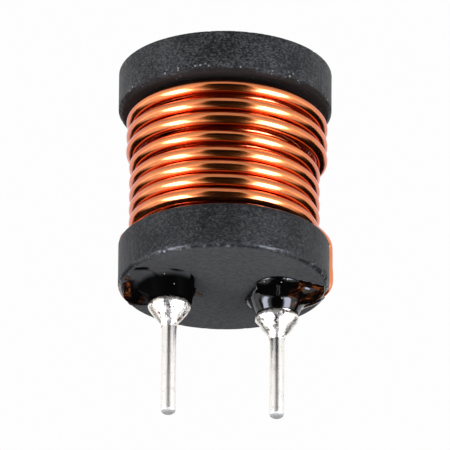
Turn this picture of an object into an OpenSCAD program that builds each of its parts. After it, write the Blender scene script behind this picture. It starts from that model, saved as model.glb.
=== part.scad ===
// Radial drum core inductor: a ferrite drum with two layers of enamelled copper wire, on two round pins.
// Z is up, the origin is the middle of the drum's underside, and the pins stand on the X axis, pointing down.
// Sizes are in millimetres and angles in degrees, counterclockwise from +X as seen from above.

/* [Drum core] */
// Height over both flanges
core_h = 15.8; // [15:0.1:18]
// Diameter of the bottom flange
bottom_flange_d = 14.2; // [13.8:0.1:16]
// Thickness of the bottom flange
bottom_flange_t = 3.2; // [2.8:0.1:3.8]
// Diameter of the top flange
top_flange_d = 14.4; // [13.6:0.1:16]
// Thickness of the top flange
top_flange_t = 3; // [2:0.1:3.6]
// Diameter of the post inside the winding
post_d = 8.8; // [7.8:0.1:9]
// Chamfer of the rims that face the seat
rim_chamfer = 0.28; // [0.1:0.02:0.5]
// Break of the rims' other edges
edge_break = 0.12; // [0.04:0.02:0.3]

/* [Winding] */
// Diameter of the wire over its enamel
wire_d = 0.95; // [0.7:0.05:1]
// Angle at which the first lead leaves the drum
start_a = 146; // [130:1:160]
// Angle at which the last lead leaves the drum
finish_a = -3.5; // [-15:0.5:10]
// Number of loose turns at the top of the outer layer
loose_turns = 3; // [1:1:5]
// How far the loose turns stand off the inner layer
loose_off = 0.36; // [0.1:0.02:0.5]
// How far the loose turns lean to one side
loose_lean = 0.14; // [0:0.02:0.2]
// How deep the centre of a lead lies inside the bottom rim
lead_sink = 0.1; // [0:0.02:0.4]

/* [Pins] */
// Diameter of a pin
pin_d = 1; // [0.7:0.05:1.2]
// Distance between the pins' axes
pin_pitch = 7.5; // [6.8:0.1:8.4]
// Length of the left pin below the drum
pin_left_l = 9.5; // [6:0.1:14]
// Length of the right pin below the drum
pin_right_l = 8.9; // [6:0.1:14]
// Depth of a pin in its blind hole
pin_seat = 2.4; // [1.5:0.1:2.6]
// Taper of a pin's root, in radius
root_taper = 0.08; // [0.02:0.01:0.12]
// Chamfer of a pin's tip
tip_chamfer = 0.2; // [0.05:0.05:0.3]

/* [Solder and resin] */
// Height at which the solder takes over from the resin, below the drum
solder_top = 1.45; // [1.2:0.05:1.6]
// Height of the solder's bell
bell_h = 0.3; // [0.25:0.05:0.6]
// Height of the hollow cone below the bell
cone_h = 1.5; // [1:0.1:2]
// Wall of solder outside the wrapped wire
solder_wall = 0.05; // [0.03:0.01:0.2]
// Thickness of the resin at its edge
resin_edge = 0.15; // [0.1:0.05:0.3]
// Radius of resin around a pin
resin_r = 1.9; // [1.7:0.1:2.2]
// Radius of the resin's lobe beside a pin
lobe_r = 1.25; // [0.8:0.05:1.4]
// How far the right pin's lobe lies in front of it
lobe_out = 2.2; // [1:0.1:2.6]
// Radius of the resin over a lead at the rim
toe_r = 0.9; // [0.6:0.1:1.2]

/* [Hidden] */

// Clearances: wire to post, layer to layer, turn to turn, wire to flange, lead to slot,
// pin to hole, and between bonded faces
post_gap = 0.08;
layer_gap = 0.06;
turn_gap = 0.03;
flange_gap = 0.05;
slot_gap = 0.08;
hole_gap = 0.02;
bond_gap = 0.02;

// Facets: sides of the wire, and steps of each turn and lead
wire_sides = 8;
inner_steps = 24;
outer_steps = 32;
lead_steps = 5;
wrap_steps = 14;
round_fn = 96;
resin_fn = 32;

// Radii and heights of the two layers
wire_r = wire_d / 2;
pin_r = pin_d / 2;
pin_x = pin_pitch / 2;
post_r = post_d / 2;
inner_r = post_r + post_gap + wire_r;
outer_r = inner_r + wire_d + layer_gap;
lead_r = bottom_flange_d / 2 - lead_sink;
low_z = bottom_flange_t + flange_gap + wire_r;
high_z = core_h - top_flange_t - flange_gap - wire_r;

// Angles: the run-in to the inner layer, the change of layers at the back, and the front of the winding
run_in = 56;
cross_a = 60;
cross_sweep = 60;
front_a = 255;
lean_a = -15;

// The inner layer rises from the first lead to the change of layers
inner_start_a = start_a + run_in;
inner_part = (cross_a - inner_start_a + 720) % 360;
inner_rise = high_z - low_z;
inner_fit = inner_rise / (wire_d + 2 * turn_gap);
inner_sweep = 360 * floor(inner_fit - inner_part / 360) + inner_part;

// The outer layer falls past the front; its free height is shared out between the turns, from the top
slack_shares = [6, 2, 4, 5, 1, 1, 2];
first_drop = 0.22;
last_rise = 0.55;
leave_rise = 0.4;
leave_a = 17;
step_sweep = 45;
outer_start_a = cross_a + cross_sweep;
to_front = front_a - outer_start_a;
front_to_start = (start_a + run_in / 2 - front_a + 360) % 360;
front_top = high_z - first_drop;
front_low = low_z + last_rise;
outer_gaps = floor((front_top - front_low) / (wire_d + turn_gap));
shares = [for (k = [0:outer_gaps - 1]) slack_shares[k % len(slack_shares)]];
function total(v, n) = n == 0 ? 0 : v[n - 1] + total(v, n - 1);
slack = (front_top - front_low - outer_gaps * wire_d) / total(shares, outer_gaps);
function front_z(k) = front_top - k * wire_d - slack * total(shares, k);
// Turns stack tightly where they pass over the first lead
function back_z(k) = max(front_z(k) + (front_z(k + 1) - front_z(k)) * front_to_start / 360,
                         low_z + (outer_gaps - k) * (wire_d + turn_gap));
outer_sweep = to_front + 360 * outer_gaps + finish_a + 360 - leave_a - front_a;
outer_heights = concat(
    [[0, high_z]],
    [for (k = [0:outer_gaps - 1]) each [[to_front + 360 * k, front_z(k)],
                                        [to_front + 360 * k + front_to_start, back_z(k)]]],
    [[to_front + 360 * outer_gaps, front_low], [outer_sweep, low_z + leave_rise]]);
step_a = to_front + 360 * (loose_turns - 1) + 90;
inner_step_a = inner_sweep * (lookup(step_a, outer_heights) + wire_d - low_z) / inner_rise;

// Paths of the wire
function polar(a, r, z) = [r * cos(a), r * sin(a), z];
function ease(t) = let (u = max(0, min(1, t))) u * u * (3 - 2 * u);
function loose(a) = loose_off + loose_lean * cos(a - lean_a);
function outer_point(a) = polar(outer_start_a + a,
    outer_r + loose(outer_start_a + a) * (1 - ease((a - step_a) / step_sweep)), lookup(a, outer_heights));
function inner_point(a) = polar(inner_start_a + a,
    inner_r + loose(inner_start_a + a) * ease((a - inner_step_a) / step_sweep),
    low_z + inner_rise * a / inner_sweep);
function cross_point(t) = let (a = cross_a + cross_sweep * t)
    polar(a, inner_r + loose(a) + (outer_r - inner_r) * ease(t), high_z);
function knot(p, i) = p[max(0, min(len(p) - 1, i))];
function bend(a, b, c, d, t) = 0.5 * (2 * b + (c - a) * t + (2 * a - 5 * b + 4 * c - d) * t * t
    + (3 * b - a - 3 * c + d) * t * t * t);
function spline(p, n) = [for (i = [0:len(p) - 2]) for (j = [0:n - 1])
    bend(knot(p, i - 1), p[i], p[i + 1], knot(p, i + 2), j / n)];
function reversed(p) = [for (i = [len(p) - 1:-1:0]) p[i]];

// A lead goes down its notch, runs in under the drum and wraps round its pin
notch_drop = 0.8;
notch_high = bottom_flange_t - notch_drop;
notch_low = 1.05;
foot_in = 0.58;
foot_z = 0.3;
wrap_r = pin_r + wire_r + bond_gap;
wrap_sweep = 240;
wrap_drop = 0.5;
function foot(a) = polar(a, lead_r - foot_in, foot_z);
// Angle on the pin at which a line from the foot of the lead touches the wrap
function touch_a(a, x) = let (d = foot(a) - [x, 0, foot_z])
    atan2(d.y, d.x) + acos(wrap_r / norm(d));
function wrap_point(a, x, z, t) = [x, 0, 0]
    + polar(touch_a(a, x) + wrap_sweep * t, wrap_r, z - wrap_drop * t);
function lead_knots(a, x, z) = [
    polar(a, lead_r, notch_high), polar(a, lead_r, notch_low), foot(a),
    (foot(a) + wrap_point(a, x, z, 0)) / 2, wrap_point(a, x, z, 0)];
function wrap_path(a, x, z) = [for (i = [0:wrap_steps]) wrap_point(a, x, z, i / wrap_steps)];
function lead_path(a, x, z) = concat(spline(lead_knots(a, x, z), lead_steps), wrap_path(a, x, z));
left_wrap_z = -0.7;
right_wrap_z = -0.62;
start_lead = lead_path(start_a, -pin_x, left_wrap_z);
finish_lead = lead_path(finish_a, pin_x, right_wrap_z);
// Over the edge of the notch, s is 1 on the way round and -1 on the way back
edge_in = 0.06;
edge_rise = 0.55;
flange_turn = 7;
rim_turn = 14;
start_rise = 0.2;
finish_rise = 0.32;
function over_edge(a, s) = polar(a + s, lead_r - edge_in, bottom_flange_t + edge_rise);
function on_flange(a, rise) = polar(a, lead_r - wire_r, low_z + rise);
run_in_knots = [start_lead[0], over_edge(start_a, 1), on_flange(start_a + flange_turn, start_rise),
    on_flange(start_a + rim_turn, start_rise),
    polar(start_a + run_in / 2, (inner_r + outer_r) / 2, low_z), inner_point(0)];
run_out_knots = [outer_point(outer_sweep), on_flange(finish_a - flange_turn, finish_rise),
    over_edge(finish_a, -1), finish_lead[0]];
inner_count = floor(inner_sweep / 360 * inner_steps);
outer_count = floor(outer_sweep / 360 * outer_steps);
cross_count = 6;
wire_path = concat(
    reversed(start_lead),
    [for (i = [1:len(run_in_knots) * lead_steps - lead_steps - 1]) spline(run_in_knots, lead_steps)[i]],
    [for (i = [0:inner_count - 1]) inner_point(inner_sweep * i / inner_count)],
    [for (i = [0:cross_count - 1]) cross_point(i / cross_count)],
    [for (i = [0:outer_count - 1]) outer_point(outer_sweep * i / outer_count)],
    spline(run_out_knots, lead_steps),
    finish_lead);

// Solder and resin
solder_r = wrap_r + wire_r + solder_wall;
solder_neck = 0.03;
solder_end = solder_top + bell_h + cone_h;
cone_steps = 8;
cone_power = 1.7;
bell_steps = 4;
bell_in = 0.12;
toe_in = 0.4;

// Cross-sections of the wire, carried along its path without twist
function unit(v) = v / norm(v);
function carry(u, t) = unit(u - (u * t) * t);
wire_n = len(wire_path);
wire_t = [for (i = [0:wire_n - 1]) unit(knot(wire_path, i + 1) - knot(wire_path, i - 1))];
wire_u = [for (i = 0, u = unit(cross(wire_t[0], [0, 0, 1])); i < wire_n;
               u = carry(u, knot(wire_t, i + 1)), i = i + 1) u];
function rim(i, r, k) = r * (cos(360 * k / wire_sides) * wire_u[i]
    + sin(360 * k / wire_sides) * cross(wire_t[i], wire_u[i]));

// The stretch of wire between two of its sections, grown by a gap all over
module wire(from = 0, to = wire_n - 1, gap = 0) {
    n = to - from;
    m = wire_sides;
    points = [for (i = [0:n]) for (k = [0:m - 1]) wire_path[from + i] + rim(from + i, wire_r + gap, k)
        + (i == 0 ? -gap : i == n ? gap : 0) * wire_t[from + i]];
    walls = [for (i = [0:n - 1]) for (k = [0:m - 1])
        let (a = i * m + k, b = i * m + (k + 1) % m) each [[a, a + m, b + m], [a, b + m, b]]];
    first = [for (k = [0:m - 1]) k];
    last = [for (k = [m - 1:-1:0]) n * m + k];
    polyhedron(points, concat(walls, [first, last]), convexity = 20);
}

// Room in the solder and the resin for the end of the first lead, and for that of the last lead
under_n = len(start_lead) - lead_steps;
module start_room() {
    wire(to = under_n, gap = bond_gap);
}
module finish_room() {
    wire(from = wire_n - 1 - under_n, gap = bond_gap);
}

// Notch in the bottom rim, flared under the drum
module rim_notch(a) {
    wall = lead_r - wire_r - slot_gap;
    out = bottom_flange_d;
    width = wire_d + 2 * slot_gap;
    rotate([0, 0, a]) translate([0, width / 2, 0]) rotate([90, 0, 0]) linear_extrude(width)
        polygon([[wall, bottom_flange_t + wire_d], [wall, notch_low + wire_r],
                 [wall - wire_r, notch_low - wire_r], [wall - wire_r, -wire_d],
                 [out, -wire_d], [out, bottom_flange_t + wire_d]]);
}

// Sloping slot under the drum, from the rim to where the lead meets its pin
module lead_slot(a, x, z) {
    from = foot(a);
    to = wrap_point(a, x, z, 0);
    run = [to.x - from.x, to.y - from.y];
    slope = (to.z - from.z) / norm(run);
    roof = from.z + wire_r * sqrt(1 + slope * slope) + slot_gap;
    width = wire_d + 2 * slot_gap;
    translate([from.x, from.y, 0]) rotate([0, 0, atan2(run.y, run.x)])
        translate([0, width / 2, 0]) rotate([90, 0, 0]) linear_extrude(width)
            polygon([[-wire_d, -wire_d], [-wire_d, roof + wire_r], [0, roof],
                     [-(roof + wire_d) / slope, -wire_d]]);
}

module drum_core() {
    br = bottom_flange_d / 2;
    tr = top_flange_d / 2;
    top_z = core_h - top_flange_t;
    color([0.25, 0.25, 0.26]) difference() {
        rotate_extrude($fn = round_fn) polygon([
            [0, 0], [br - rim_chamfer, 0], [br, rim_chamfer],
            [br, bottom_flange_t - edge_break], [br - edge_break, bottom_flange_t],
            [post_r, bottom_flange_t], [post_r, top_z],
            [tr - rim_chamfer, top_z], [tr, top_z + rim_chamfer],
            [tr, core_h - edge_break], [tr - edge_break, core_h], [0, core_h]]);
        for (x = [-pin_x, pin_x]) translate([x, 0, -pin_d])
            cylinder(h = pin_d + pin_seat + bond_gap, r = pin_r + hole_gap, $fn = round_fn);
        rim_notch(start_a);
        rim_notch(finish_a);
        lead_slot(start_a, -pin_x, left_wrap_z);
        lead_slot(finish_a, pin_x, right_wrap_z);
    }
}

module winding() {
    color([0.72, 0.36, 0.16]) wire();
}

// Straight shank below the solder, root drawn to a slight taper in its hole
module pin(x, length, gap = 0) {
    translate([x, 0, 0]) rotate_extrude($fn = round_fn) polygon([
        [0, -length], [pin_r - tip_chamfer, -length], [pin_r + gap, -length + tip_chamfer],
        [pin_r + gap, -solder_end], [pin_r - root_taper + gap, pin_seat], [0, pin_seat]]);
}

module pin_left() {
    color([0.8, 0.8, 0.82]) pin(-pin_x, pin_left_l);
}

module pin_right() {
    color([0.8, 0.8, 0.82]) pin(pin_x, pin_right_l);
}

// Bell over the wrapped wire, drawn out to a hollow cone down the pin, less the room for the wire
module solder(x, length) {
    neck = pin_r + solder_neck;
    bell_z = -solder_top - bell_h;
    dome = [for (i = [0:bell_steps]) let (a = 90 * i / bell_steps)
        [solder_r - bell_in * (1 - sin(a)), -solder_top - bell_h * (1 - cos(a))]];
    cone = [for (i = [1:cone_steps]) let (t = i / cone_steps)
        [neck + (solder_r - neck) * pow(1 - t, cone_power), bell_z - cone_h * t]];
    difference() {
        translate([x, 0, 0]) rotate_extrude($fn = round_fn)
            polygon(concat([[0, -solder_top]], dome, cone, [[0, -solder_end]]));
        pin(x, length, bond_gap);
        children();
    }
}

module solder_left() {
    color([0.88, 0.88, 0.88]) solder(-pin_x, pin_left_l) start_room();
}

module solder_right() {
    color([0.88, 0.88, 0.88]) solder(pin_x, pin_right_l) finish_room();
}

// Mound of resin that spreads from the pin to the rim, less the room for the lead; a lobe is [x, y, radius]
module resin(x, length, lobes) {
    difference() {
        intersection() {
            hull() {
                translate([0, 0, -resin_edge]) linear_extrude(resin_edge)
                    for (lobe = lobes) translate([lobe.x, lobe.y]) circle(lobe.z, $fn = resin_fn);
                translate([x, 0, -solder_top]) cylinder(h = solder_top, r = solder_r, $fn = resin_fn);
            }
            translate([0, 0, -solder_top])
                cylinder(h = solder_top, r = bottom_flange_d / 2 - rim_chamfer, $fn = round_fn);
        }
        pin(x, length, bond_gap);
        children();
    }
}

module resin_left() {
    toe = foot(start_a);
    color([0.05, 0.05, 0.05]) resin(-pin_x, pin_left_l, [
        [-pin_x, 0, resin_r], [-pin_x - resin_r, -resin_r / 2, lobe_r],
        [toe.x + toe_in, toe.y - toe_in, toe_r]]) start_room();
}

module resin_right() {
    toe = foot(finish_a);
    color([0.05, 0.05, 0.05]) resin(pin_x, pin_right_l, [
        [pin_x, 0, resin_r], [pin_x - lobe_r / 4, -lobe_out, lobe_r],
        [toe.x - toe_in, toe.y - toe_in / 2, toe_r]]) finish_room();
}

drum_core();
winding();
pin_left();
pin_right();
solder_left();
solder_right();
resin_left();
resin_right();
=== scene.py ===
"""Dressed scene of a drum core inductor: ferrite drum, copper winding, tinned pins, solder and black resin.

Sizes are in millimetres and angles in degrees unless a name says otherwise. Every mesh is made in metres, in
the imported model's frame: Z is up, the origin is the middle of the drum's underside, the pins stand on X.
"""

from __future__ import annotations

import logging
import math
from collections.abc import Callable, Sequence
from dataclasses import dataclass
from enum import Enum
from typing import Any

import bmesh
import bpy
from bpy.types import Material, Mesh, Node, NodeSocket, NodeTree, Object
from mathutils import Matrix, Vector, noise

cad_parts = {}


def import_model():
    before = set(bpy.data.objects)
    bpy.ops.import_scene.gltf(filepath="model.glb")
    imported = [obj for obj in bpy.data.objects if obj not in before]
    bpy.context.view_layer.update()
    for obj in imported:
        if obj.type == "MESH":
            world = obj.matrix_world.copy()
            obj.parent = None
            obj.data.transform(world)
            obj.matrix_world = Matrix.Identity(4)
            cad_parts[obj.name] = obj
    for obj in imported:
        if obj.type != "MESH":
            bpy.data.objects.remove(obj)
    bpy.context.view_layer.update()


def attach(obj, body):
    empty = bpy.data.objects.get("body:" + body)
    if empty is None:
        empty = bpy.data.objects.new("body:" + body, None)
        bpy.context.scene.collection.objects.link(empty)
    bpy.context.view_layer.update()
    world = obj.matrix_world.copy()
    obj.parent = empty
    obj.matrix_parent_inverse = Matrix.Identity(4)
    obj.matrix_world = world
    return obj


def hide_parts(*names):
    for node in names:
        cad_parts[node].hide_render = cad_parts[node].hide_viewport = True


MM = 0.001
TINY = 1e-6
OUTSIDE = -9.0
BODY = "root"
LOG = logging.getLogger("drum_core_inductor")

Colour = tuple[float, float, float]
Outline = Sequence[tuple[float, float]]

COOL: Colour = (1.0, 1.06, 1.3)


class Slot(Enum):
    """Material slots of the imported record."""

    FERRITE = "ferrite"
    COPPER = "copper"
    TIN = "tinned_pin"
    SOLDER = "solder"
    RESIN = "resin"


class Side(Enum):
    """The two ends of the winding, with the sign of their pin's X."""

    LEFT = -1
    RIGHT = 1


def polar(angle: float, radius: float, z: float) -> Vector:
    """Point at an angle, a radius and a height."""
    return Vector((radius * math.cos(math.radians(angle)), radius * math.sin(math.radians(angle)), z))


def ease(t: float) -> float:
    """Smooth step from 0 to 1."""
    u = max(0.0, min(1.0, t))
    return u * u * (3 - 2 * u)


def lookup(x: float, table: Outline) -> float:
    """Straight-line value between the rows of a rising table.

    Args:
        x: Where to read.
        table: Rows of place and value.

    Returns:
        The value at x, held flat past the table's ends.
    """
    if x <= table[0][0]:
        return table[0][1]
    for (x0, y0), (x1, y1) in zip(table, table[1:]):
        if x <= x1:
            return y0 + (y1 - y0) * (x - x0) / (x1 - x0)
    return table[-1][1]


def spline(knots: Sequence[Vector], steps: int) -> list[Vector]:
    """Smooth curve through knots, without the last one.

    Args:
        knots: Points that the curve passes through.
        steps: Points for each stretch between two knots.

    Returns:
        The curve's points.
    """
    last = len(knots) - 1
    points = []
    for i in range(last):
        a, b, c, d = (knots[max(0, min(last, i + k))] for k in (-1, 0, 1, 2))
        square, cube = 2 * a - 5 * b + 4 * c - d, 3 * b - a - 3 * c + d
        for j in range(steps):
            t = j / steps
            points.append(0.5 * (2 * b + (c - a) * t + square * t**2 + cube * t**3))
    return points


def keep_values(mesh: Mesh, name: str, values: Sequence[float]) -> None:
    """Keeps a value for each point of a mesh."""
    mesh.attributes.new(name, "FLOAT", "POINT").data.foreach_set("value", values)


@dataclass(frozen=True)
class Sizes:
    """Sizes that more than one piece needs, as the part's source has them."""

    core_h: float = 15.8
    bottom_d: float = 14.2
    bottom_t: float = 3.2
    top_d: float = 14.4
    top_t: float = 3.0
    post_d: float = 8.8
    rim_chamfer: float = 0.28
    edge_break: float = 0.12
    wire_d: float = 0.95
    pin_d: float = 1.0
    pin_pitch: float = 7.5
    pin_seat: float = 2.4
    solder_top: float = 1.45
    bell_h: float = 0.3
    cone_h: float = 1.5
    slot_gap: float = 0.08
    bond_gap: float = 0.02

    @property
    def wire_r(self) -> float:
        """Radius of the wire."""
        return self.wire_d / 2

    @property
    def pin_r(self) -> float:
        """Radius of a pin."""
        return self.pin_d / 2

    @property
    def wrap_r(self) -> float:
        """Radius of the wire's wrap round a pin, at the wire's centre."""
        return self.pin_r + self.wire_r + self.bond_gap

    @property
    def solder_end(self) -> float:
        """Depth of the solder's lower end below the drum."""
        return self.solder_top + self.bell_h + self.cone_h

    def pin_x(self, side: Side) -> float:
        """X of a side's pin."""
        return side.value * self.pin_pitch / 2


class Graph:
    """Adds nodes to one tree and joins them."""

    def __init__(self, tree: NodeTree) -> None:
        """Takes the tree to work on."""
        self.tree = tree

    def fill(self, node: Node, values: dict[Any, Any]) -> None:
        """Sets a node's inputs by name or index, each to a plain value or by a link from a socket."""
        for name, value in values.items():
            if isinstance(value, NodeSocket):
                self.tree.links.new(value, node.inputs[name])
            else:
                node.inputs[name].default_value = value

    def add(self, kind: str, values: dict[Any, Any] | None = None, **settings: Any) -> Node:
        """Adds a node.

        Args:
            kind: The node's type.
            values: What goes into its inputs.
            settings: The node's own properties.

        Returns:
            The new node.
        """
        node = self.tree.nodes.new(kind)
        for name, value in settings.items():
            setattr(node, name, value)
        self.fill(node, values or {})
        return node

    def math(self, operation: str, a: Any, b: Any = 0.0, clamp: bool = False) -> NodeSocket:
        """Result of a Math node."""
        return self.add("ShaderNodeMath", {0: a, 1: b}, operation=operation, use_clamp=clamp).outputs[0]

    def times(self, a: Any, b: Any, clamp: bool = False) -> NodeSocket:
        """Product of two values."""
        return self.math("MULTIPLY", a, b, clamp)

    def plus(self, a: Any, b: Any) -> NodeSocket:
        """Sum of two values."""
        return self.math("ADD", a, b)

    def minus(self, a: Any, b: Any) -> NodeSocket:
        """One value less another."""
        return self.math("SUBTRACT", a, b)

    def most(self, a: Any, b: Any) -> NodeSocket:
        """Greater of two values."""
        return self.math("MAXIMUM", a, b)

    def size(self, a: Any, b: Any) -> NodeSocket:
        """Length of a way with two sides."""
        return self.math("SQRT", self.plus(self.math("POWER", a, 2.0), self.math("POWER", b, 2.0)))

    def parts(self, vector: NodeSocket) -> Any:
        """X, Y and Z of a vector."""
        return self.add("ShaderNodeSeparateXYZ", {0: vector}).outputs

    def point(self, x: Any, y: Any, z: Any = 0.0) -> NodeSocket:
        """Vector of an X, Y and Z."""
        return self.add("ShaderNodeCombineXYZ", {0: x, 1: y, 2: z}).outputs[0]

    def mark(self, name: str, output: str = "Fac") -> NodeSocket:
        """A value kept in the mesh."""
        return self.add("ShaderNodeAttribute", attribute_name=name).outputs[output]

    def store(self, geometry: NodeSocket, name: str, value: NodeSocket, kind: str = "FLOAT") -> NodeSocket:
        """Geometry with a value kept for each of its points."""
        values = {"Geometry": geometry, "Name": name, "Value": value}
        return self.add("GeometryNodeStoreNamedAttribute", values, data_type=kind, domain="POINT").outputs[0]

    def ramp(self, value: Any, low: float, high: float, out_low: float = 0.0, out_high: float = 1.0) -> Any:
        """Smooth map of a value from one range to another."""
        values = {"Value": value, "From Min": low, "From Max": high, "To Min": out_low, "To Max": out_high}
        return self.add("ShaderNodeMapRange", values, interpolation_type="SMOOTHSTEP").outputs["Result"]

    def mix(self, factor: Any, a: Any, b: Any) -> NodeSocket:
        """Colour mixed from a to b."""
        a, b = ((*c, 1.0) if isinstance(c, tuple) else c for c in (a, b))
        return self.add("ShaderNodeMix", {0: factor, 6: a, 7: b}, data_type="RGBA").outputs[2]

    def noise(self, vector: Any, scale: float, detail: float = 3.0, roughness: float = 0.55) -> Any:
        """Value of a noise texture, about 0.5 in the middle."""
        values = {"Vector": vector, "Scale": scale, "Detail": detail, "Roughness": roughness}
        return self.add("ShaderNodeTexNoise", values).outputs[0]

    def group(self, tree: NodeTree, values: dict[str, Any]) -> NodeSocket:
        """First output of a placed shader group."""
        return self.add("ShaderNodeGroup", values, node_tree=tree).outputs[0]


class Effects:
    """Shader groups that several finishes share, each built once."""

    def __init__(self) -> None:
        """Builds the groups."""
        self.specks = self._specks()
        self.rim = self._rim()
        self.streaks = self._streaks()
        self.mottle = self._mottle()

    def _begin(self, name: str, *numbers: str) -> tuple[Graph, Any]:
        """Starts a group that makes one value of a vector and some numbers.

        Args:
            name: The group's name.
            numbers: Names of its number inputs.

        Returns:
            The graph, and the group's inputs by name.
        """
        tree = bpy.data.node_groups.new(name, "ShaderNodeTree")
        tree.interface.new_socket("Vector", in_out="INPUT", socket_type="NodeSocketVector")
        for number in numbers:
            tree.interface.new_socket(number, in_out="INPUT", socket_type="NodeSocketFloat")
        tree.interface.new_socket("Value", in_out="OUTPUT", socket_type="NodeSocketFloat")
        graph = Graph(tree)
        return graph, graph.add("NodeGroupInput").outputs

    def _end(self, graph: Graph, value: NodeSocket) -> NodeTree:
        """Ends a group with the value that it makes."""
        graph.add("NodeGroupOutput", {0: value})
        return graph.tree

    def _specks(self) -> NodeTree:
        """Small separate specks: a share of the cells of a pattern, each with a dot of a size."""
        graph, given = self._begin("specks", "Scale", "Size", "Share")
        cells = graph.add("ShaderNodeTexVoronoi", {"Vector": given["Vector"], "Scale": given["Scale"]})
        near = graph.math("LESS_THAN", cells.outputs["Distance"], given["Size"])
        pick = graph.add("ShaderNodeSeparateColor", {0: cells.outputs["Color"]}).outputs[0]
        return self._end(graph, graph.times(near, graph.math("LESS_THAN", pick, given["Share"])))

    def _rim(self) -> NodeTree:
        """Band round a rim of a radius at a height, fading over a reach."""
        graph, given = self._begin("rim_band", "Radius", "Height", "Reach")
        x, y, z = graph.parts(given["Vector"])
        across = graph.minus(graph.size(x, y), given["Radius"])
        away = graph.size(across, graph.minus(z, given["Height"]))
        return self._end(graph, graph.ramp(graph.math("DIVIDE", away, given["Reach"]), 0.0, 1.0, 1.0, 0.0))

    def _streaks(self) -> NodeTree:
        """Drawn lines that run along a vector's X, finer across it."""
        graph, given = self._begin("streaks", "Along", "Across")
        x, y, z = graph.parts(given["Vector"])
        long, broad = given["Along"], given["Across"]
        stretched = graph.point(graph.times(x, long), graph.times(y, broad), graph.times(z, broad))
        return self._end(graph, graph.noise(stretched, 1.0, 4.0, 0.6))

    def _mottle(self) -> NodeTree:
        """Cloudy patches broken up by a finer grain."""
        graph, given = self._begin("mottle", "Patch", "Grain", "Share")
        clouds = []
        for name, detail in (("Patch", 3.0), ("Grain", 2.0)):
            values = {"Vector": given["Vector"], "Scale": given[name], "Detail": detail}
            clouds.append(graph.add("ShaderNodeTexNoise", values).outputs[0])
        blend = graph.add("ShaderNodeMix", {0: given["Share"], 2: clouds[0], 3: clouds[1]})
        return self._end(graph, blend.outputs[0])


@dataclass(frozen=True)
class Finish:
    """A surface finish that makes its own material."""

    effects: Effects

    def begin(self, name: str) -> tuple[Material, Graph, Node, Any]:
        """Starts a material.

        Args:
            name: The material's name.

        Returns:
            The material, its graph, its Principled shader and Object coordinates in millimetres.
        """
        material = bpy.data.materials.new(name)
        material.use_nodes = True
        graph = Graph(material.node_tree)
        shader = material.node_tree.nodes["Principled BSDF"]
        place = graph.add("ShaderNodeTexCoord").outputs["Object"]
        scaled = graph.add("ShaderNodeVectorMath", {0: place, "Scale": 1 / MM}, operation="SCALE")
        return material, graph, shader, scaled.outputs["Vector"]

    def join(self, graph: Graph, shader: Node, **values: Any) -> None:
        """Fills the shader's inputs by name, underscores for spaces."""
        graph.fill(shader, {name.replace("_", " "): value for name, value in values.items()})

    def bump(self, graph: Graph, shader: Node, height: Any, depth: float) -> None:
        """Raises the surface by a height of 0 to 1 times a depth in millimetres."""
        node = graph.add("ShaderNodeBump", {"Height": height, "Strength": 1.0, "Distance": depth * MM})
        self.join(graph, shader, Normal=node.outputs[0])


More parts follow.
